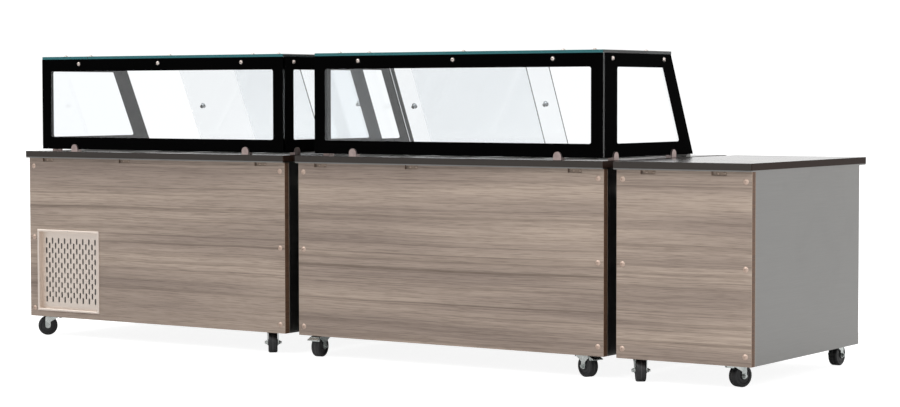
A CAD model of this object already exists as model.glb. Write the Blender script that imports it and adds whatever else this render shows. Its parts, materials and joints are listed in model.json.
"""Looks of the mobile salad bar, built round its packed construction model.

The construction model brings every counter, pane, door and caster. This script gives each of them its finish,
adds the small fittings that the construction leaves out, and sets up the floor, the light and the camera.
"""

import json
import logging
import math
from collections.abc import Callable, Sequence
from dataclasses import dataclass
from enum import Enum

import bmesh
import bpy
from mathutils import Matrix, Vector


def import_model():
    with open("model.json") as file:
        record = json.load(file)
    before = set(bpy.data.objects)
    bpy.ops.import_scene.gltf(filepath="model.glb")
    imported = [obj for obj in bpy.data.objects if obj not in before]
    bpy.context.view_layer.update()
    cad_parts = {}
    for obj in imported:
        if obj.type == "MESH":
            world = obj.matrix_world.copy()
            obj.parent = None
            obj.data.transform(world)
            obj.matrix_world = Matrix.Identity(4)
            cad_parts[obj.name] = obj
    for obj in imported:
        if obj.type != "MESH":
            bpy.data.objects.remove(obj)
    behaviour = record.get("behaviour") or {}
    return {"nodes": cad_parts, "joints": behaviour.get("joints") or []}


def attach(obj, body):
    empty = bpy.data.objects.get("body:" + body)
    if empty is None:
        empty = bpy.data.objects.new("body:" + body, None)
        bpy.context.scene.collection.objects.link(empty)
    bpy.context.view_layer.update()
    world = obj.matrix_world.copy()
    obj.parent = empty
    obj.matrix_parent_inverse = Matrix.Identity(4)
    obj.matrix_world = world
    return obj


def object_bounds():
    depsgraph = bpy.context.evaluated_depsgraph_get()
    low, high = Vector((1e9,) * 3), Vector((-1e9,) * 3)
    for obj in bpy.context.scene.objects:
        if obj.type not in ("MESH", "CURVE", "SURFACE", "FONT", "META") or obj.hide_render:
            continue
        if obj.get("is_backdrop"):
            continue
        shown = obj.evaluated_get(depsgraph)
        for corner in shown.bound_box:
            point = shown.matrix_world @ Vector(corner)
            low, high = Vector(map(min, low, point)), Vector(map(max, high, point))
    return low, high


log = logging.getLogger("salad_bar")

Pair = tuple[float, float]
Triple = tuple[float, float, float]
Colour = Triple
Profile = Sequence[Pair]
Shape = bmesh.types.BMesh
Vert = bmesh.types.BMVert
NodeTree = bpy.types.NodeTree
Values = dict[str, object]
Socket = bpy.types.NodeSocket
ROOT = "lineup"
MM = 0.001
STEEP = 0.7  # a face looks along an axis when that part of its normal is larger


def linear(*display: float) -> Colour:
    """Turn a display colour into a linear one.

    Args:
        *display: Red, green and blue as seen on a display, from 0 to 255.

    Returns:
        The linear colour.
    """
    shares = (value / 255 for value in display)
    return tuple(v / 12.92 if v <= 0.04045 else ((v + 0.055) / 1.055) ** 2.4 for v in shares)


class Unit(Enum):
    """One of the three counters."""

    LEFT = "left"
    MIDDLE = "middle"
    SHORT = "short"


GLAZED = (Unit.LEFT, Unit.MIDDLE)


# ---- node trees


class Tree:
    """Adds nodes to a node tree and links them."""

    def __init__(self, tree: NodeTree) -> None:
        """Wrap a node tree.

        Args:
            tree: The tree that nodes go into.
        """
        self.tree = tree

    def node(self, kind: str, inputs: dict | None = None, **settings: object) -> bpy.types.Node:
        """Add a node.

        Args:
            kind: Blender's name for the node's type.
            inputs: Values or sockets, by the name or number of the input.
            **settings: The node's own properties.

        Returns:
            The new node.
        """
        made = self.tree.nodes.new(kind)
        for name, value in settings.items():
            setattr(made, name, value)
        for key, value in (inputs or {}).items():
            self.feed(made.inputs[key], value)
        return made

    def feed(self, socket: Socket, value: object) -> None:
        """Link a socket, or set its value."""
        if isinstance(value, bpy.types.NodeSocket):
            self.tree.links.new(value, socket)
        elif socket.type == "RGBA":
            socket.default_value = (*value, 1.0) if len(value) == 3 else value
        else:
            socket.default_value = value

    def place(self) -> Socket:
        """Return the object coordinates."""
        return self.node("ShaderNodeTexCoord").outputs["Object"]

    def split(self, vector: Socket) -> Sequence[Socket]:
        """Return a vector's X, Y and Z."""
        return self.node("ShaderNodeSeparateXYZ", {0: vector}).outputs

    def joined(self, x: object, y: object, z: object = 0.0) -> Socket:
        """Return a vector made of X, Y and Z."""
        return self.node("ShaderNodeCombineXYZ", {0: x, 1: y, 2: z}).outputs[0]

    def normal(self) -> Socket:
        """Return the surface's normal."""
        return self.node("ShaderNodeNewGeometry").outputs["Normal"]

    def math(self, operation: str, first: object, second: object = 0.0) -> Socket:
        """Add a Math node and return its result."""
        return self.node("ShaderNodeMath", {0: first, 1: second}, operation=operation).outputs[0]

    def plus(self, first: object, second: object) -> Socket:
        """Return a sum."""
        return self.math("ADD", first, second)

    def times(self, first: object, second: object) -> Socket:
        """Return a product."""
        return self.math("MULTIPLY", first, second)

    def beyond(self, value: object, limit: float = STEEP) -> Socket:
        """Return 1 where a value lies further from 0 than a limit, and otherwise 0."""
        return self.math("GREATER_THAN", self.math("ABSOLUTE", value), limit)

    def between(self, factor: object, first: object, second: object) -> Socket:
        """Return a number between two others."""
        return self.node("ShaderNodeMix", {0: factor, 2: first, 3: second}).outputs[0]

    def mix(self, factor: object, first: object, second: object) -> Socket:
        """Return a colour between two others."""
        return self.node("ShaderNodeMix", {0: factor, 6: first, 7: second}, data_type="RGBA").outputs[2]

    def span(
        self, value: object, low: float, high: float, out_low: float = 0.0, out_high: float = 1.0
    ) -> Socket:
        """Map a range of values smoothly onto another one."""
        ends = {0: value, 1: low, 2: high, 3: out_low, 4: out_high}
        return self.node("ShaderNodeMapRange", ends, interpolation_type="SMOOTHSTEP").outputs[0]

    def noise(self, vector: Socket, scale: float, detail: float = 4.0, rough: float = 0.55) -> Socket:
        """Return the factor of a Noise texture."""
        made = {"Vector": vector, "Scale": scale, "Detail": detail, "Roughness": rough}
        return self.node("ShaderNodeTexNoise", made).outputs[0]

    def stretched(self, vector: Socket, scale: Sequence[float], move: Sequence[float] = (0, 0, 0)) -> Socket:
        """Scale and move a vector, and return it."""
        return self.node("ShaderNodeMapping", {"Vector": vector, "Scale": scale, "Location": move}).outputs[0]

    def bump(self, height: object, strength: float, distance: float) -> Socket:
        """Return the normal of a surface raised by a height."""
        made = {"Height": height, "Strength": strength, "Distance": distance}
        return self.node("ShaderNodeBump", made).outputs[0]

    def seen_directly(self) -> Socket:
        """Return 1 for what the camera sees itself or through glass, and 0 for light and reflections."""
        path = self.node("ShaderNodeLightPath").outputs
        return self.math("MAXIMUM", path["Is Camera Ray"], path["Is Transmission Ray"])


def new_group(name: str, inputs: Values, outputs: Sequence[str]) -> tuple[NodeTree, Tree, dict, dict]:
    """Make a shader node group whose outputs are numbers.

    Args:
        name: The group's name.
        inputs: Default value of each input; a vector input's default is None.
        outputs: Name of each output.

    Returns:
        The group, its tree helper, the input sockets by name and the output node's sockets by name.
    """
    group = bpy.data.node_groups.new(name, "ShaderNodeTree")
    for key, default in inputs.items():
        kind = "NodeSocketVector" if default is None else "NodeSocketFloat"
        made = group.interface.new_socket(name=key, in_out="INPUT", socket_type=kind)
        if default is not None:
            made.default_value = default
    for key in outputs:
        group.interface.new_socket(name=key, in_out="OUTPUT", socket_type="NodeSocketFloat")
    tree = Tree(group)
    source = tree.node("NodeGroupInput")
    sink = tree.node("NodeGroupOutput")
    return group, tree, {k: source.outputs[k] for k in inputs}, {k: sink.inputs[k] for k in outputs}


def brushing_group() -> NodeTree:
    """Build the group for level brushing on sheet metal.

    The lines run level along each face: along Y on the faces that look along X, and along X on all others.

    Returns:
        The group, with outputs Tone, Rough and Height, each from 0 to 1 about a middle of 0.5.
    """
    group, tree, given, result = new_group(
        "brushing", {"Fineness": 900.0, "Length": 5.0}, ("Tone", "Rough", "Height")
    )
    place = tree.place()
    x, y, z = tree.split(place)
    facing = tree.split(tree.normal())
    along = tree.between(tree.beyond(facing[0]), x, y)
    across = tree.between(tree.beyond(facing[2]), z, y)
    lines = tree.joined(tree.times(along, given["Length"]), tree.times(across, given["Fineness"]))
    fine = tree.noise(lines, 1.0, detail=2.0, rough=0.7)
    broad = tree.noise(tree.stretched(lines, (0.35, 0.07, 1.0)), 1.0, detail=3.0)
    clouds = tree.noise(tree.stretched(place, (0.8, 0.8, 1.6)), 2.2, detail=2.0)
    tone = tree.plus(tree.times(fine, 0.45), tree.times(broad, 0.3))
    tree.feed(result["Tone"], tree.plus(tone, tree.times(clouds, 0.25)))
    tree.feed(result["Rough"], tree.plus(tree.times(broad, 0.5), tree.times(clouds, 0.5)))
    tree.feed(result["Height"], fine)
    return group


def wood_group() -> NodeTree:
    """Build the group for a level wood grain that runs along X.

    Returns:
        The group, with outputs Tone for broad bands, Streak for darker lines, Pore for the finest grain, and
        Height.
    """
    group, tree, given, result = new_group(
        "wood_grain", {"Place": None, "Wander": 0.03, "Bands": 5.0}, ("Tone", "Streak", "Pore", "Height")
    )
    place = given["Place"]
    swing = tree.noise(tree.stretched(place, (0.9, 1.0, 1.6)), 1.0, detail=2.0)
    swing = tree.times(tree.math("SUBTRACT", swing, 0.5), given["Wander"])
    x, y, z = tree.split(place)
    bent = tree.joined(x, y, tree.plus(z, swing))
    banded = tree.node("ShaderNodeVectorMath", {0: bent, 3: given["Bands"]}, operation="SCALE").outputs[0]
    bands = tree.noise(tree.stretched(banded, (0.06, 1.0, 1.3)), 1.6, detail=4.0, rough=0.55)
    tree.feed(result["Tone"], tree.span(bands, 0.3, 0.7))
    broad = tree.noise(tree.stretched(bent, (0.16, 1.0, 30.0), (1.3, 0, 4.1)), 1.0, detail=3.0)
    first = tree.noise(tree.stretched(bent, (0.15, 1.0, 64.0)), 1.0, detail=5.0, rough=0.6)
    second = tree.noise(tree.stretched(bent, (0.4, 1.0, 190.0), (3.1, 0, 7.7)), 1.0, detail=3.0, rough=0.6)
    streak = tree.plus(tree.span(first, 0.48, 0.74, 0.0, 0.75), tree.span(second, 0.45, 0.7, 0.0, 0.45))
    crowd = tree.span(broad, 0.36, 0.62, 0.45, 1.0)
    tree.feed(result["Streak"], tree.times(tree.math("MINIMUM", streak, 1.0), crowd))
    pores = tree.noise(tree.stretched(bent, (11.0, 1.0, 430.0)), 1.0, detail=2.0, rough=0.6)
    tree.feed(result["Pore"], pores)
    tree.feed(result["Height"], tree.plus(tree.times(pores, -0.6), tree.times(first, -0.4)))
    return group


def wear_group() -> NodeTree:
    """Build the group for wiped smudges and dust that dull a smooth surface.

    Returns:
        The group, with an output Mask from 0 to 1.
    """
    group, tree, given, result = new_group("smudges", {"Scale": 3.0, "Low": 0.45, "High": 0.75}, ("Mask",))
    swirled = tree.node(
        "ShaderNodeTexNoise",
        {"Vector": tree.place(), "Scale": given["Scale"], "Detail": 5.0, "Roughness": 0.6, "Distortion": 1.2},
    ).outputs[0]
    tree.feed(result["Mask"], tree.span(swirled, given["Low"], given["High"]))
    return group


class Effects:
    """The shader groups that several finishes share, each built once."""

    _made: dict[str, NodeTree] = {}
    _makers: dict[str, Callable[[], NodeTree]] = {
        "brushing": brushing_group,
        "wood_grain": wood_group,
        "smudges": wear_group,
    }

    @classmethod
    def place(cls, tree: Tree, name: str, **inputs: object) -> dict[str, Socket]:
        """Put a shared group into a tree.

        Args:
            tree: Where the group node goes.
            name: The group's name.
            **inputs: The values for its inputs.

        Returns:
            The group node's outputs, by name.
        """
        if name not in cls._made:
            cls._made[name] = cls._makers[name]()
        return tree.node("ShaderNodeGroup", inputs, node_tree=cls._made[name]).outputs


# ---- finishes


@dataclass(frozen=True)
class Finish:
    """A finish that builds its own material on a Principled shader."""

    name: str

    def look(self, tree: Tree) -> Values:
        """Return what goes into the shader.

        Args:
            tree: The material's tree.

        Returns:
            A value or socket for each input that isn't left at its default.
        """
        raise NotImplementedError

    def surface(self, tree: Tree, shader: Socket) -> Socket:
        """Return the surface, given the Principled shader's output."""
        return shader

    def build(self) -> bpy.types.Material:
        """Build the material and return it."""
        material = bpy.data.materials.new(self.name)
        material.use_nodes = True
        material.node_tree.nodes.clear()
        tree = Tree(material.node_tree)
        shader = tree.node("ShaderNodeBsdfPrincipled", self.look(tree)).outputs[0]
        tree.node("ShaderNodeOutputMaterial", {"Surface": self.surface(tree, shader)})
        return material


@dataclass(frozen=True)
class WalnutLaminate(Finish):
    """Grey-brown walnut laminate with level grain, on a board with brown edge banding."""

    shift: Triple
    front: float = -0.510
    thick: float = 0.030
    skin: float = 1.4 * MM
    light: Colour = linear(181, 164, 150)
    dark: Colour = linear(146, 131, 121)
    streak: Colour = linear(88, 74, 64)
    edge: Colour = linear(84, 62, 48)
    edge_light: Colour = linear(124, 92, 70)
    edge_line: Colour = linear(196, 176, 156)

    def look(self, tree: Tree) -> Values:
        """Return what goes into the shader."""
        place = tree.place()
        moved = tree.stretched(place, (1, 1, 1), self.shift)
        grain = Effects.place(tree, "wood_grain", Place=moved, Wander=0.03, Bands=4.6)
        pore = grain["Pore"]
        face = tree.mix(grain["Tone"], self.dark, self.light)
        face = tree.mix(tree.times(grain["Streak"], 0.8), face, self.streak)
        face = tree.mix(tree.span(pore, 0.42, 0.72, 0.0, 0.42), face, self.streak)
        rim = tree.mix(tree.span(pore, 0.35, 0.65, 0.0, 0.5), self.edge, self.edge_light)
        off_middle = tree.math("SUBTRACT", tree.split(place)[1], self.front + self.thick / 2)
        rim = tree.mix(tree.beyond(off_middle, self.thick / 2 - self.skin), rim, self.edge_line)
        outward = tree.beyond(tree.split(tree.normal())[1], 0.5)
        return {
            "Base Color": tree.mix(outward, rim, face),
            "Roughness": tree.span(pore, 0.2, 0.8, 0.42, 0.58),
            "Specular IOR Level": 0.3,
            "Normal": tree.bump(grain["Height"], 0.25, 0.3 * MM),
        }


@dataclass(frozen=True)
class DarkTop(Finish):
    """Dark brown, nearly black counter laminate: glossy on top, satin and finely lined along its edges."""

    name: str = "dark_counter_top"
    dark: Colour = linear(34, 29, 27)
    light: Colour = linear(58, 48, 43)
    streak: Colour = linear(24, 20, 18)
    edge: Colour = linear(60, 56, 53)
    end: Colour = linear(37, 22, 14)

    def look(self, tree: Tree) -> Values:
        """Return what goes into the shader."""
        x, y, z = tree.split(tree.place())
        laid = tree.joined(x, 0.0, tree.plus(z, y))
        grain = Effects.place(tree, "wood_grain", Place=laid, Wander=0.02, Bands=9.0)
        colour = tree.mix(grain["Tone"], self.dark, self.light)
        colour = tree.mix(tree.times(grain["Streak"], 0.5), colour, self.streak)
        facing = tree.split(tree.normal())
        level = tree.beyond(facing[2])
        sides = tree.mix(tree.beyond(facing[0]), self.edge, self.end)
        lined = tree.mix(tree.span(grain["Streak"], 0.1, 0.8, 0.0, 0.6), sides, self.dark)
        smudge = Effects.place(tree, "smudges", Scale=4.0)["Mask"]
        bump = tree.times(grain["Height"], tree.math("SUBTRACT", 1.0, level))
        return {
            "Base Color": tree.mix(level, lined, colour),
            "Roughness": tree.between(level, 0.5, tree.span(smudge, 0.0, 1.0, 0.24, 0.32)),
            "Specular IOR Level": 0.12,
            "Coat Weight": level,
            "Coat Roughness": 0.24,
            "Coat IOR": 1.7,
            "Normal": tree.bump(bump, 0.2, 0.2 * MM),
        }


@dataclass(frozen=True)
class BrushedSheet(Finish):
    """Sheet steel brushed in level lines."""

    colour: Colour
    rough: float = 0.34
    contrast: float = 0.09
    fineness: float = 900.0
    length: float = 5.0
    bump: float = 0.06

    def look(self, tree: Tree) -> Values:
        """Return what goes into the shader."""
        lines = Effects.place(tree, "brushing", Fineness=self.fineness, Length=self.length)
        low = tuple(c * (1 - self.contrast) for c in self.colour)
        high = tuple(min(1.0, c * (1 + self.contrast)) for c in self.colour)
        smudge = Effects.place(tree, "smudges", Scale=2.5, Low=0.5, High=0.8)["Mask"]
        rough = tree.span(lines["Rough"], 0.3, 0.7, self.rough - 0.06, self.rough + 0.06)
        return {
            "Base Color": tree.mix(tree.span(lines["Tone"], 0.3, 0.7), low, high),
            "Roughness": tree.plus(rough, tree.times(smudge, 0.06)),
            "Metallic": 1.0,
            "Normal": tree.bump(lines["Height"], self.bump, 0.1 * MM),
        }


@dataclass(frozen=True)
class SmallMetal(Finish):
    """Turned, cast or plated metal on small pieces, with slight wear."""

    colour: Colour
    worn: Colour
    rough: float
    speckle: float = 220.0

    def look(self, tree: Tree) -> Values:
        """Return what goes into the shader."""
        place = tree.place()
        marks = tree.noise(place, self.speckle, detail=4.0, rough=0.65)
        patches = tree.noise(place, self.speckle * 0.12, detail=2.0)
        return {
            "Base Color": tree.mix(tree.span(patches, 0.4, 0.7), self.colour, self.worn),
            "Roughness": tree.span(marks, 0.3, 0.7, self.rough - 0.07, self.rough + 0.1),
            "Metallic": 1.0,
            "Normal": tree.bump(marks, 0.06, 0.1 * MM),
        }


@dataclass(frozen=True)
class FrontFittings(Finish):
    """Matt pinkish steel screws, and receiver plates in a tone near the laminate's."""

    name: str = "front_fittings"
    screw: Colour = linear(200, 178, 164)
    plate: Colour = linear(150, 134, 121)
    small: Colour = linear(196, 178, 164)
    plate_face: float = -0.5052
    recess: float = 3.5 * MM
    speckle: float = 260.0

    def look(self, tree: Tree) -> Values:
        """Return what goes into the shader."""
        place = tree.place()
        depth = tree.split(place)[1]
        marks = tree.noise(place, self.speckle, detail=4.0, rough=0.65)
        inside = tree.math("GREATER_THAN", depth, self.plate_face)
        recessed = tree.math("GREATER_THAN", depth, self.plate_face - self.recess)
        colour = tree.mix(inside, tree.mix(recessed, self.screw, self.small), self.plate)
        return {
            "Base Color": tree.mix(tree.span(marks, 0.4, 0.75, 0.0, 0.3), colour, self.plate),
            "Roughness": tree.span(marks, 0.3, 0.7, 0.42, 0.56),
            "Metallic": tree.span(marks, 0.0, 1.0, 0.72, 0.88),
            "Normal": tree.bump(marks, 0.06, 0.1 * MM),
        }


@dataclass(frozen=True)
class MachineParts(Finish):
    """Aluminium fins in a galvanised casing in front, black painted shroud, motor and compressor behind."""

    name: str = "machine_parts"
    coil_back: float = -0.4298
    coil_left: float = -1.815
    coil_right: float = -1.459
    base_top: float = 0.1412
    fins: Colour = linear(190, 188, 184)
    fins_dull: Colour = linear(120, 118, 114)
    casing: Colour = linear(168, 170, 170)
    casing_dull: Colour = linear(140, 143, 145)
    paint: Colour = (0.022, 0.023, 0.025)
    dust: Colour = (0.16, 0.15, 0.14)

    def look(self, tree: Tree) -> Values:
        """Return what goes into the shader."""
        place = tree.place()
        x, y, z = tree.split(place)
        past_left = tree.math("GREATER_THAN", x, self.coil_left)
        core = tree.times(past_left, tree.math("LESS_THAN", x, self.coil_right))
        in_coil = tree.math("LESS_THAN", y, self.coil_back)
        bare = tree.math("MAXIMUM", in_coil, tree.math("LESS_THAN", z, self.base_top))
        dull = tree.noise(tree.stretched(place, (30.0, 1.0, 1.0)), 18.0, detail=3.0)
        spangle = tree.noise(place, 60.0, detail=1.0)
        fins = tree.mix(tree.span(dull, 0.4, 0.7, 0.0, 0.6), self.fins, self.fins_dull)
        casing = tree.mix(tree.span(spangle, 0.4, 0.65), self.casing, self.casing_dull)
        dust = Effects.place(tree, "smudges", Scale=9.0, Low=0.4, High=0.8)["Mask"]
        painted = tree.mix(tree.times(dust, 0.12), self.paint, self.dust)
        return {
            "Base Color": tree.mix(bare, painted, tree.mix(core, casing, fins)),
            "Metallic": bare,
            "Roughness": tree.span(spangle, 0.3, 0.7, 0.34, 0.46),
            "Normal": tree.bump(spangle, 0.06, 0.15 * MM),
        }


@dataclass(frozen=True)
class PaneGlass(Finish):
    """Clear glass, nearly colourless through its faces and dark sea green at its polished edges."""

    facing: Triple
    face: Colour = (0.975, 0.99, 1.0)
    edge: Colour = linear(46, 104, 108)
    end: Colour = linear(38, 44, 44)
    shade: Colour = (0.93, 0.97, 0.965)

    def look(self, tree: Tree) -> Values:
        """Return what goes into the shader."""
        normal = tree.normal()
        dot = tree.node("ShaderNodeVectorMath", {0: normal, 1: self.facing}, operation="DOT_PRODUCT")
        rim = tree.mix(tree.beyond(tree.split(normal)[0]), self.edge, self.end)
        smudge = Effects.place(tree, "smudges", Scale=1.8, Low=0.5, High=0.85)["Mask"]
        return {
            "Base Color": tree.mix(tree.beyond(dot.outputs["Value"]), rim, self.face),
            "Roughness": tree.span(smudge, 0.0, 1.0, 0.0, 0.015),
            "Transmission Weight": 1.0,
            "IOR": 1.5,
        }

    def surface(self, tree: Tree, shader: Socket) -> Socket:
        """Return the glass, with lamps shining through it unbent."""
        through = tree.node("ShaderNodeBsdfTransparent", {0: self.shade}).outputs[0]
        lamp = tree.node("ShaderNodeLightPath").outputs["Is Shadow Ray"]
        return tree.node("ShaderNodeMixShader", {0: lamp, 1: shader, 2: through}).outputs[0]


@dataclass(frozen=True)
class FiredBorder(Finish):
    """Matt black ceramic border fired onto glass."""

    name: str = "fired_black_border"
    speckle: float = 900.0
    pale: Colour = (0.0012, 0.0012, 0.0013)

    def look(self, tree: Tree) -> Values:
        """Return what goes into the shader."""
        specks = tree.noise(tree.place(), self.speckle, detail=2.0)
        return {
            "Base Color": tree.mix(tree.span(specks, 0.35, 0.7), (0, 0, 0), self.pale),
            "Roughness": tree.span(specks, 0.3, 0.7, 0.75, 0.9),
            "Specular IOR Level": 0.02,
        }


@dataclass(frozen=True)
class Moulded(Finish):
    """Moulded rubber or plastic."""

    colour: Colour
    rough: float
    grain: float = 1400.0
    bump: float = 0.15
    shine: float = 0.4
    dust: Colour = (0.20, 0.19, 0.18)
    dusty: float = 0.06

    def look(self, tree: Tree) -> Values:
        """Return what goes into the shader."""
        skin = tree.noise(tree.place(), self.grain, detail=2.0)
        dust = Effects.place(tree, "smudges", Scale=18.0, Low=0.45, High=0.8)["Mask"]
        return {
            "Base Color": tree.mix(tree.times(dust, self.dusty), self.colour, self.dust),
            "Roughness": tree.span(skin, 0.3, 0.7, self.rough - 0.05, self.rough + 0.08),
            "Specular IOR Level": self.shine,
            "Normal": tree.bump(skin, self.bump, 0.15 * MM),
        }


@dataclass(frozen=True)
class PaleFloor(Finish):
    """A floor that is nearly white to the eye, and greyer in what it lights."""

    glow: float
    pale: Colour = (0.78, 0.78, 0.78)
    pale_dull: Colour = (0.74, 0.74, 0.74)
    seen: Colour = (0.36, 0.36, 0.36)

    def look(self, tree: Tree) -> Values:
        """Return what goes into the shader."""
        direct = tree.seen_directly()
        unseen = tree.mix(tree.noise(tree.place(), 0.6), self.pale_dull, self.pale)
        return {
            "Base Color": tree.mix(direct, unseen, self.seen),
            "Roughness": 0.9,
            "Specular IOR Level": 0.1,
            "Emission Color": (1.0, 1.0, 1.0),
            "Emission Strength": tree.times(direct, self.glow),
        }


class Finishes:
    """Every finish of the salad bar, each built on first use."""

    steel = BrushedSheet("brushed_stainless", linear(139, 138, 136))
    grille = BrushedSheet("warm_stainless", linear(228, 216, 206), 0.42, 0.06, fineness=1400.0, bump=0.12)
    fittings = FrontFittings()
    screws = SmallMetal("satin_screws", linear(214, 204, 198), linear(190, 178, 170), rough=0.24)
    clamps = SmallMetal("clamp_steel", linear(186, 168, 164), linear(168, 150, 146), rough=0.34)
    zinc = SmallMetal("bright_zinc", linear(204, 209, 207), linear(178, 184, 182), rough=0.28)
    copper = SmallMetal("copper_tube", linear(196, 122, 88), linear(160, 92, 66), rough=0.3)
    knobs = SmallMetal("polished_knobs", linear(226, 228, 230), linear(206, 208, 210), rough=0.16)
    machine = MachineParts()
    top = DarkTop()
    border = FiredBorder()
    rubber = Moulded("black_rubber", (0.010, 0.010, 0.011), rough=0.46, shine=0.5)
    mould_line = Moulded("pale_mould_line", (0.09, 0.09, 0.088), rough=0.5)
    gasket = Moulded("soft_gasket", (0.02, 0.02, 0.02), rough=0.6)
    plastic = Moulded("black_plastic", (0.018, 0.018, 0.019), rough=0.4, grain=900.0)
    _made: dict[str, bpy.types.Material] = {}

    @classmethod
    def get(cls, finish: Finish) -> bpy.types.Material:
        """Return a finish's material, building it the first time."""
        if finish.name not in cls._made:
            cls._made[finish.name] = finish.build()
        return cls._made[finish.name]


# ---- the frame and new pieces


class Frame:
    """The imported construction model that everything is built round."""

    def __init__(self) -> None:
        """Load the model and note its box."""
        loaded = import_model()
        self.cad_box = [list(corner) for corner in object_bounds()]
        self.nodes: dict[str, bpy.types.Object] = loaded["nodes"]
        self.joints: dict[str, dict] = {j["name"]: j for j in loaded["joints"]}

    def dress(self, finish: Finish, *nodes: str) -> None:
        """Give construction nodes a finish.

        Args:
            finish: The finish.
            *nodes: The nodes' names.
        """
        for node in nodes:
            mesh = self.nodes[node].data
            mesh.materials.clear()
            mesh.materials.append(Finishes.get(finish))
            log.info("dressed %s in %s", node, finish.name)

    def hinge(self, joint: str) -> tuple[Vector, Vector]:
        """Return a point on a hinge's axis and the axis's direction."""
        found = self.joints[joint]
        return Vector(found["pos_m"]), Vector(found["axis"])


def placed(name: str, data: bpy.types.ID, where: Matrix) -> bpy.types.Object:
    """Return a new object in the scene, with its data and its place."""
    made = bpy.data.objects.new(name, data)
    made.matrix_world = where
    bpy.context.scene.collection.objects.link(made)
    return made


@dataclass
class Piece:
    """A new mesh piece that rides on a body."""

    name: str
    body: str
    finish: Finish
    slot: str

    def finish_mesh(self, shape: Shape) -> None:
        """Turn a shape into an object that rides on its body.

        Args:
            shape: The finished shape, in the line's frame.
        """
        bmesh.ops.remove_doubles(shape, verts=shape.verts, dist=1e-6)
        bmesh.ops.recalc_face_normals(shape, faces=shape.faces)
        mesh = bpy.data.meshes.new(self.name)
        shape.to_mesh(mesh)
        shape.free()
        mesh.materials.append(Finishes.get(self.finish))
        mesh.shade_smooth()
        mesh.set_sharp_from_angle(angle=math.radians(35))
        made = placed(self.name, mesh, Matrix())
        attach(made, self.body)
        log.info("built %s on %s", self.name, self.body)


def turned_to(place: Sequence[float], axis: Sequence[float]) -> Matrix:
    """Return the matrix that carries +Z onto an axis and the origin onto a place."""
    return Matrix.Translation(place) @ Vector(axis).to_track_quat("Z", "Y").to_matrix().to_4x4()


def connected(start: Vert) -> list[Vert]:
    """Return every vertex joined to one by edges."""
    seen, queue = {start}, [start]
    while queue:
        for edge in queue.pop().link_edges:
            for vert in edge.verts:
                if vert not in seen:
                    seen.add(vert)
                    queue.append(vert)
    return list(seen)


def add_revolved(
    shape: Shape, profile: Profile, where: Matrix, steps: int = 24, ring: bool = False
) -> None:
    """Add a body of revolution.

    Args:
        shape: Where it is added.
        profile: Points of (radius, height) in millimetres along the axis, from one end to the other.
        where: Carries the profile's +Z axis into place.
        steps: How many faces go round.
        ring: Whether the profile closes on itself, as a ring's does.
    """
    made = [shape.verts.new((radius * MM, 0.0, height * MM)) for radius, height in profile]
    pairs = list(zip(made, made[1:])) + ([(made[-1], made[0])] if ring else [])
    edges = [shape.edges.new(pair) for pair in pairs]
    bmesh.ops.spin(
        shape, geom=made + edges, cent=(0, 0, 0), axis=(0, 0, 1), angle=math.tau, steps=steps, use_merge=True
    )
    bmesh.ops.transform(shape, matrix=where, verts=connected(made[0]))


def add_block(shape: Shape, low: Vector, high: Vector, where: Matrix, bevel: float) -> None:
    """Add a block with rounded edges between two corners."""
    made = bmesh.ops.create_cube(shape, size=1.0)["verts"]
    bmesh.ops.scale(shape, vec=high - low, verts=made)
    bmesh.ops.translate(shape, vec=(high + low) / 2, verts=made)
    rounded = bmesh.ops.bevel(
        shape,
        geom=list({e for v in made for e in v.link_edges}),
        offset=bevel,
        segments=2,
        profile=0.5,
        affect="EDGES",
        material=-1,
    )
    bmesh.ops.transform(shape, matrix=where, verts=connected(rounded["verts"][0]))


def dome_profile(radius: float, height: float, socket: float = 0.0, steps: int = 6) -> Profile:
    """Return the profile of a button head, with a dimple of the given radius at its top."""
    ball = (radius * radius + height * height) / (2 * height)
    points = [(0.0, height / 2), (socket, height / 2)] if socket else [(0.0, height)]
    for step in range(1, steps + 1):
        r = socket + (radius - socket) * step / steps
        points.append((r, height - ball + math.sqrt(max(ball * ball - r * r, 0.0))))
    points.append((0.0, 0.0))
    return points


# ---- sub-assemblies


@dataclass(frozen=True)
class Spread:
    """Where a counter stands along the line, how wide it is, and which stretch of grain its front shows."""

    start: float
    width: float
    grain_shift: Triple
    overhang: float = 7 * MM

    @property
    def cabinet(self) -> Pair:
        """Return the left and right face of the cabinet."""
        return self.start + self.overhang, self.start + self.width - self.overhang


SPREADS = {
    Unit.LEFT: Spread(-1.877, 1.524, (0.0, 0.0, 0.0)),
    Unit.MIDDLE: Spread(-0.291, 1.524, (4.7, 0.0, 0.31)),
    Unit.SHORT: Spread(1.277, 0.600, (9.1, 0.0, 1.13)),
}
REAR_FACE = 0.478
COUNTER_TOP = 0.864
TO_FRONT = (0, -1, 0)
TO_REAR = (0, 1, 0)
UP = (0, 0, 1)


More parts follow.
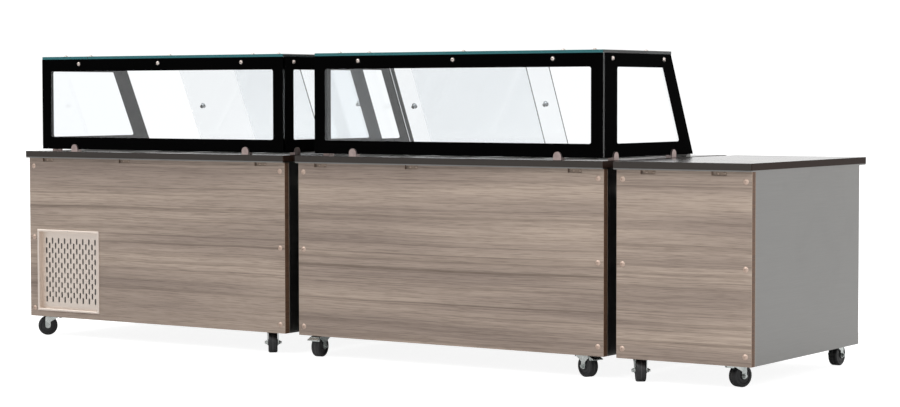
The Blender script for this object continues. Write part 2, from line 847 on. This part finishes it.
@dataclass
class Cabinets:
    """The steel cabinets, their laminated fronts, their counter tops and the rivets at the rear."""

    frame: Frame
    rivet: Pair = (4.0, 1.6)
    skirt_line: float = 0.103
    flange_lines: tuple[float, ...] = (0.190, 0.330, 0.470, 0.610, 0.750)
    flange_in: float = 0.0125
    skirt_gap: float = 0.24

    def build(self) -> None:
        """Dress every cabinet, front and counter top, and rivet the rears."""
        for unit in Unit:
            self.frame.dress(Finishes.steel, f"cabinet_{unit.value}")
            front = WalnutLaminate(f"walnut_laminate_{unit.value}", SPREADS[unit].grain_shift)
            self.frame.dress(front, f"panel_{unit.value}")
            self.frame.dress(Finishes.top, f"counter_{unit.value}")
            self.add_rivets(unit)
        self.frame.dress(Finishes.steel, "shelves")
        self.frame.dress(Finishes.fittings, "front_hardware")

    def add_rivets(self, unit: Unit) -> None:
        """Rivet the skirt and the two flanges at the rear of a cabinet."""
        left, right = SPREADS[unit].cabinet
        count = round((right - left) / self.skirt_gap)
        spots = [(left + (right - left) * (k + 0.5) / count, self.skirt_line) for k in range(count)]
        spots += [(x, z) for x in (left + self.flange_in, right - self.flange_in) for z in self.flange_lines]
        shape = bmesh.new()
        for x, z in spots:
            add_revolved(shape, dome_profile(*self.rivet), turned_to((x, REAR_FACE, z), TO_REAR), steps=14)
        Piece(f"rear_rivets_{unit.value}", ROOT, Finishes.zinc, "stainless").finish_mesh(shape)


@dataclass
class ColdWells:
    """The cold wells, the bars across them and the strainers over their drains."""

    frame: Frame
    drain_x: float = 0.811
    drain_y: float = -0.174
    floor_z: float = 0.659
    flange: Profile = ((17.0, 0.0), (25.0, 0.0), (25.0, 0.8), (23.0, 1.6), (17.0, 1.6))
    rings: tuple[float, ...] = (6.0, 10.0, 14.0)
    ring_half: float = 0.9
    ring_z: Pair = (0.2, 1.5)
    bars: int = 3
    bar: Triple = (17.5, 0.9, 1.4)
    bar_foot: float = 0.3

    def build(self) -> None:
        """Dress the wells and fit their strainers."""
        shape = bmesh.new()
        for unit in GLAZED:
            self.frame.dress(Finishes.steel, f"well_{unit.value}")
            self.add_strainer(shape, SPREADS[unit].start + self.drain_x)
        self.frame.dress(Finishes.steel, "pan_bars")
        Piece("drain_strainers", ROOT, Finishes.screws, "stainless").finish_mesh(shape)

    def add_strainer(self, shape: Shape, x: float) -> None:
        """Add one flanged strainer with rings and cross bars over the drain at x."""
        where = turned_to((x, self.drain_y, self.floor_z), UP)
        add_revolved(shape, self.flange, where, steps=36, ring=True)
        low, high = self.ring_z
        for radius in self.rings:
            inner, outer = radius - self.ring_half, radius + self.ring_half
            add_revolved(shape, [(inner, low), (outer, low), (outer, high), (inner, high)], where, ring=True)
        reach, half, top = self.bar
        for k in range(self.bars):
            turned = where @ Matrix.Rotation(math.pi * k / self.bars, 4, "Z")
            ends = Vector((-reach, -half, self.bar_foot)) * MM, Vector((reach, half, top)) * MM
            add_block(shape, *ends, turned, bevel=0.2 * MM)


@dataclass
class Machinery:
    """The vent grille, the machine compartment behind it and its rear panel."""

    frame: Frame
    grille_middle: float = -1.6305
    grille_ends: Pair = (0.125, 0.494)
    bead_front: float = -0.516
    sunk: float = 0.4 * MM
    grille_screw: Triple = (3.2, 1.4, 1.1)
    panel_screw: Triple = (5.5, 2.6, 1.8)
    panel_x: Pair = (-1.8447, -1.3570)
    panel_z: Pair = (0.1383, 0.7867)
    screw_in: float = 0.012
    bend_x: float = -1.4515
    bend_y: float = -0.450
    bend_first: float = 0.176
    bend_step: float = 0.0508
    bends: int = 6
    tube: Pair = (4.8, 12.7)
    sides: int = 12

    def build(self) -> None:
        """Dress the machinery, and add its screws and the coil's return bends."""
        self.frame.dress(Finishes.grille, "vent_grille")
        self.frame.dress(Finishes.machine, "condensing_unit")
        self.frame.dress(Finishes.plastic, "fan_blades", "power_switch")
        self.frame.dress(Finishes.steel, "service_panel")
        self.add_grille_screws()
        self.add_panel_screws()
        self.add_return_bends()

    def add_grille_screws(self) -> None:
        """Put one small screw in the middle of the grille's upper and lower bead."""
        shape = bmesh.new()
        for z in self.grille_ends:
            where = turned_to((self.grille_middle, self.bead_front + self.sunk, z), TO_FRONT)
            add_revolved(shape, dome_profile(*self.grille_screw), where, steps=14)
        Piece("grille_screws", ROOT, Finishes.screws, "satin_steel").finish_mesh(shape)

    def add_panel_screws(self) -> None:
        """Screw down the rear service panel all round."""
        (x0, x1), (z0, z1), inset = self.panel_x, self.panel_z, self.screw_in
        rows = [z0 + inset, (z0 + z1) / 2, z1 - inset]
        spots = [(x, z) for x in (x0 + inset, x1 - inset) for z in rows]
        spots += [((x0 + x1) / 2, z) for z in (rows[0], rows[-1])]
        shape = bmesh.new()
        for x, z in spots:
            where = turned_to((x, REAR_FACE, z), TO_REAR)
            add_revolved(shape, dome_profile(*self.panel_screw), where, steps=18)
        Piece("service_panel_screws", ROOT, Finishes.screws, "satin_steel").finish_mesh(shape)

    def add_return_bends(self) -> None:
        """Add the copper return bends along the coil's right side."""
        shape = bmesh.new()
        radius, reach = self.tube
        for k in range(self.bends):
            mouth = Matrix.Translation((reach * MM, 0, 0))
            made = bmesh.ops.create_circle(shape, segments=self.sides, radius=radius * MM, matrix=mouth)
            verts = made["verts"]
            edges = list({e for v in verts for e in v.link_edges})
            bmesh.ops.spin(
                shape, geom=verts + edges, cent=(0, 0, 0), axis=TO_REAR, angle=math.pi, steps=self.sides
            )
            bmesh.ops.holes_fill(shape, edges=[e for e in shape.edges if e.is_boundary], sides=self.sides)
            where = Matrix.Translation((self.bend_x, self.bend_y, self.bend_first + k * self.bend_step))
            turned = where @ Matrix.Rotation(-math.pi / 2, 4, "Y")
            bmesh.ops.transform(shape, matrix=turned, verts=connected(verts[0]))
        Piece("coil_return_bends", ROOT, Finishes.copper, "painted_unit").finish_mesh(shape)


@dataclass
class FoodGuard:
    """The glass panes, their border and hardware, and the sliding doors."""

    frame: Frame
    lean: float = math.atan2(0.197, 0.413)
    slant_foot: Pair = (0.230, 0.875)
    doors: tuple[str, ...] = ("left_inner", "left_outer", "middle_inner", "middle_outer")
    inside: Pair = (0.115, 1.507)
    front_bolts: tuple[float, ...] = (0.333, 0.811, 1.289)
    side_bolts: tuple[float, ...] = (-0.446, -0.028)
    front_clamps: tuple[float, ...] = (0.308, 1.314)
    side_clamps: tuple[float, ...] = (-0.429, 0.049)
    bolt_line: float = 1.266
    top_face: float = 1.300
    front_face: float = -0.5204
    front_inside: float = -0.508
    wall: float = 0.0124
    bracket_reach: float = 0.069
    washer: Profile = ((8.8, 0.0), (10.7, 0.0), (10.7, 0.7), (10.3, 1.1), (8.8, 1.1))
    pad: tuple[float, ...] = (19.2, 15.0, 11.5, 1.2)
    door_planes: tuple[float, ...] = (-0.008, -0.032)
    bumper: Triple = (1.6, 5.0, 26.0)
    bumper_foot: float = 0.024

    def build(self) -> None:
        """Dress the guard, and add the washers, pads and bumpers."""
        front = PaneGlass("front_pane_glass", TO_REAR, end=linear(104, 150, 146))
        self.frame.dress(front, "front_glass")
        self.frame.dress(PaneGlass("top_pane_glass", UP), "top_glass")
        self.frame.dress(PaneGlass("end_pane_glass", (1, 0, 0)), "end_glass")
        across = (0.0, math.cos(self.lean), math.sin(self.lean))
        sliding = PaneGlass("door_glass", across, edge=linear(200, 214, 214), end=linear(190, 204, 208))
        for door in self.doors:
            self.frame.dress(sliding, f"door_{door}")
            self.frame.dress(Finishes.knobs, f"knob_{door}")
        self.frame.dress(Finishes.border, "glass_frit")
        self.frame.dress(Finishes.clamps, "glass_clamps")
        self.frame.dress(Finishes.screws, "glass_bolts")
        self.frame.dress(Finishes.steel, "door_tracks")
        self.add_washers()
        self.add_clamp_pads()
        self.add_bumpers()

    def ends(self, unit: Unit) -> list[Pair]:
        """Return each end pane's inner face and the way that its outer face looks."""
        start = SPREADS[unit].start
        return [(start + self.inside[0], -1.0), (start + self.inside[1], 1.0)]

    def add_washers(self) -> None:
        """Put a soft washer under every bolt head."""
        spots: list[tuple[Sequence[float], Sequence[float]]] = []
        for unit in GLAZED:
            start = SPREADS[unit].start
            for x in self.front_bolts:
                spots.append(((start + x, self.front_face, self.bolt_line), TO_FRONT))
                spots.append(((start + x, self.front_inside + self.bracket_reach, self.top_face), UP))
            for x, way in self.ends(unit):
                for y in self.side_bolts:
                    spots.append(((x + way * self.wall, y, self.bolt_line), (way, 0, 0)))
                    spots.append(((x - way * self.bracket_reach, y, self.top_face), UP))
        shape = bmesh.new()
        for place, axis in spots:
            add_revolved(shape, self.washer, turned_to(place, axis), ring=True)
        Piece("bolt_washers", ROOT, Finishes.gasket, "black_plastic").finish_mesh(shape)

    def add_clamp_pads(self) -> None:
        """Line both cheeks of every clamp with a thin rubber pad that stands slightly proud."""
        shape = bmesh.new()
        for unit in GLAZED:
            start = SPREADS[unit].start
            for x in self.front_clamps:
                self.add_pad_pair(shape, Matrix.Translation((start + x, self.front_inside, COUNTER_TOP)))
            for x, way in self.ends(unit):
                for y in self.side_clamps:
                    turn = Matrix.Rotation(way * math.pi / 2, 4, "Z")
                    self.add_pad_pair(shape, Matrix.Translation((x, y, COUNTER_TOP)) @ turn)
        Piece("clamp_pads", ROOT, Finishes.gasket, "black_plastic").finish_mesh(shape)

    def add_pad_pair(self, shape: Shape, where: Matrix) -> None:
        """Add the two half-moon pads of a clamp whose pane's inner face is at y = 0."""
        radius, rise, foot, thick = (v * MM for v in self.pad)
        for y in (-self.wall - thick, 0.0):
            tip = shape.verts.new((radius, y, rise))
            arc = bmesh.ops.spin(shape, geom=[tip], cent=(0, y, rise), axis=TO_FRONT, angle=math.pi, steps=16)
            last = next(v for v in arc["geom_last"] if isinstance(v, Vert))
            corners = [shape.verts.new((side * radius, y, foot)) for side in (-1, 1)]
            edges = {e for v in connected(tip) for e in v.link_edges}
            run = (last, *corners, tip)
            edges |= {shape.edges.new(pair) for pair in zip(run, run[1:])}
            face = bmesh.ops.contextual_create(shape, geom=list(edges))["faces"]
            drawn = bmesh.ops.extrude_face_region(shape, geom=face)["geom"]
            moved = [v for v in drawn if isinstance(v, Vert)]
            bmesh.ops.translate(shape, vec=(0, thick, 0), verts=moved)
            bmesh.ops.transform(shape, matrix=where, verts=connected(tip))

    def add_bumpers(self) -> None:
        """Put a small rubber bumper at each end of each door's run."""
        shape = bmesh.new()
        thick, deep, tall = (v * MM for v in self.bumper)
        slant = Matrix.Translation((0, *self.slant_foot)) @ Matrix.Rotation(self.lean, 4, "X")
        for unit in GLAZED:
            for x, way in self.ends(unit):
                for plane in self.door_planes:
                    near, far = sorted((x, x - way * thick))
                    low = Vector((near, plane - deep / 2, self.bumper_foot))
                    high = Vector((far, plane + deep / 2, self.bumper_foot + tall))
                    add_block(shape, low, high, slant, bevel=0.4 * MM)
        Piece("door_bumpers", ROOT, Finishes.gasket, "black_plastic").finish_mesh(shape)


@dataclass
class Casters:
    """The twelve swivel casters and two brake pedals, with mould lines, hub covers and dust seals."""

    frame: Frame
    line: Profile = ((43.9, -1.0), (44.6, -0.7), (44.6, 0.7), (43.9, 1.0))
    cover: Profile = ((15.0, 16.9), (29.8, 16.9), (29.8, 17.9), (27.5, 18.7), (15.0, 18.7))
    rivet: Pair = (1.9, 1.0)
    rivets: int = 5
    rivet_place: Pair = (22.0, 18.6)
    seal: Profile = ((27.2, -1.3), (28.3, -1.3), (28.6, 0.0), (28.3, 1.3), (27.2, 1.3))
    seal_height: float = 103.8 * MM

    def build(self) -> None:
        """Dress every fork, wheel and pedal, and add the small rings."""
        for node in self.frame.nodes:
            if node.startswith(("fork_", "brake_")):
                self.frame.dress(Finishes.zinc, node)
            elif node.startswith("wheel_"):
                self.frame.dress(Finishes.rubber, node)
                self.add_rings(node.removeprefix("wheel_"))

    def add_rings(self, name: str) -> None:
        """Add one caster's mould line, hub covers and dust seal."""
        centre, axle = self.frame.hinge(f"roll_{name}")
        kingpin, _ = self.frame.hinge(f"swivel_{name}")
        line, covers, seal = bmesh.new(), bmesh.new(), bmesh.new()
        add_revolved(line, self.line, turned_to(centre, axle), steps=64, ring=True)
        out, height = self.rivet_place
        for way in (axle, -axle):
            add_revolved(covers, self.cover, turned_to(centre, way), steps=32, ring=True)
            for k in range(self.rivets):
                turned = turned_to(centre, way) @ Matrix.Rotation(math.tau * k / self.rivets, 4, "Z")
                spot = turned @ Matrix.Translation((out * MM, 0, height * MM))
                add_revolved(covers, dome_profile(*self.rivet), spot, steps=10)
        where = turned_to((kingpin.x, kingpin.y, self.seal_height), UP)
        add_revolved(seal, self.seal, where, steps=40, ring=True)
        wheel, fork = f"wheel_{name}", f"fork_{name}"
        Piece(f"mould_line_{name}", wheel, Finishes.mould_line, "caster_rubber").finish_mesh(line)
        Piece(f"hub_covers_{name}", wheel, Finishes.plastic, "black_plastic").finish_mesh(covers)
        Piece(f"dust_seal_{name}", fork, Finishes.plastic, "black_plastic").finish_mesh(seal)


@dataclass
class Studio:
    """A pale floor, soft lights and the camera at the photograph's angle."""

    camera_place: Triple = (5.7029, -8.2488, 1.1256)
    camera_turn: float = math.radians(33.917)
    camera_tilt: float = math.radians(-2.748)
    camera_roll: float = math.radians(-0.071)
    focal_pixels: float = 2276.6
    image_width: float = 900.0
    sensor: float = 36.0
    floor_size: float = 60.0
    front_light: float = 0.45
    rear_light: float = 1.0
    top_light: float = 1.0
    backdrop: float = 1.05
    broad_power: float = 1.2
    broad_from: Triple = (-2.0, -3.0, 6.0)
    broad_angle: float = math.radians(60)
    strip_from: Triple = (5.5, -3.0, 3.4)
    strip_aim: Triple = (0.5, 0.0, 0.9)
    strip_size: Pair = (0.5, 3.0)
    strip_power: float = 60.0
    floor_glow: float = 0.9

    def build(self) -> None:
        """Build the floor, the world, the lights and the camera."""
        self.make_camera()
        self.make_floor()
        self.make_world()
        self.make_lights()
        bpy.context.scene.view_settings.view_transform = "Standard"

    def make_camera(self) -> None:
        """Place the camera."""
        data = bpy.data.cameras.new("camera")
        data.sensor_width = self.sensor
        data.lens = self.sensor * self.focal_pixels / self.image_width
        data.clip_end = 200.0
        turn = Matrix.Rotation(self.camera_turn, 4, "Z")
        lift = Matrix.Rotation(math.pi / 2 + self.camera_tilt, 4, "X")
        aim = turn @ lift @ Matrix.Rotation(self.camera_roll, 4, "Z")
        bpy.context.scene.camera = placed("camera", data, Matrix.Translation(self.camera_place) @ aim)

    def make_floor(self) -> None:
        """Lay the floor."""
        shape = bmesh.new()
        bmesh.ops.create_grid(shape, x_segments=1, y_segments=1, size=self.floor_size / 2)
        mesh = bpy.data.meshes.new("floor")
        shape.to_mesh(mesh)
        shape.free()
        mesh.materials.append(PaleFloor("pale_floor", self.floor_glow).build())
        floor = placed("floor", mesh, Matrix())
        floor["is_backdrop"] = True

    def make_world(self) -> None:
        """Fill the surroundings with soft light, dimmer from the front than from above and behind."""
        world = bpy.data.worlds.new("studio")
        world.use_nodes = True
        world.node_tree.nodes.clear()
        tree = Tree(world.node_tree)
        way = tree.split(tree.node("ShaderNodeTexCoord").outputs["Generated"])
        depth = tree.span(way[1], -0.75, 0.35, self.front_light, self.rear_light)
        level = tree.between(tree.span(way[2], 0.15, 0.9), depth, self.top_light)
        shown = tree.between(tree.seen_directly(), level, self.backdrop)
        sky = tree.node("ShaderNodeBackground", {0: (1.0, 1.0, 1.0), 1: shown})
        tree.node("ShaderNodeOutputWorld", {"Surface": sky.outputs[0]})
        bpy.context.scene.world = world

    def make_lights(self) -> None:
        """Hang one broad, distant lamp and a soft box at the right."""
        broad = bpy.data.lights.new("broad", "SUN")
        broad.energy = self.broad_power
        broad.angle = self.broad_angle
        placed("broad", broad, turned_to(self.broad_from, self.broad_from))
        strip = bpy.data.lights.new("strip", "AREA")
        strip.shape = "RECTANGLE"
        strip.size, strip.size_y = self.strip_size
        strip.energy = self.strip_power
        away = Vector(self.strip_from) - Vector(self.strip_aim)
        placed("strip", strip, turned_to(self.strip_from, away))


def main() -> None:
    """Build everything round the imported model."""
    logging.basicConfig(level=logging.INFO, format="%(message)s")
    frame = Frame()
    Studio().build()
    for assembly in (Cabinets(frame), ColdWells(frame), Machinery(frame), FoodGuard(frame), Casters(frame)):
        assembly.build()


if __name__ == "__main__":
    main()
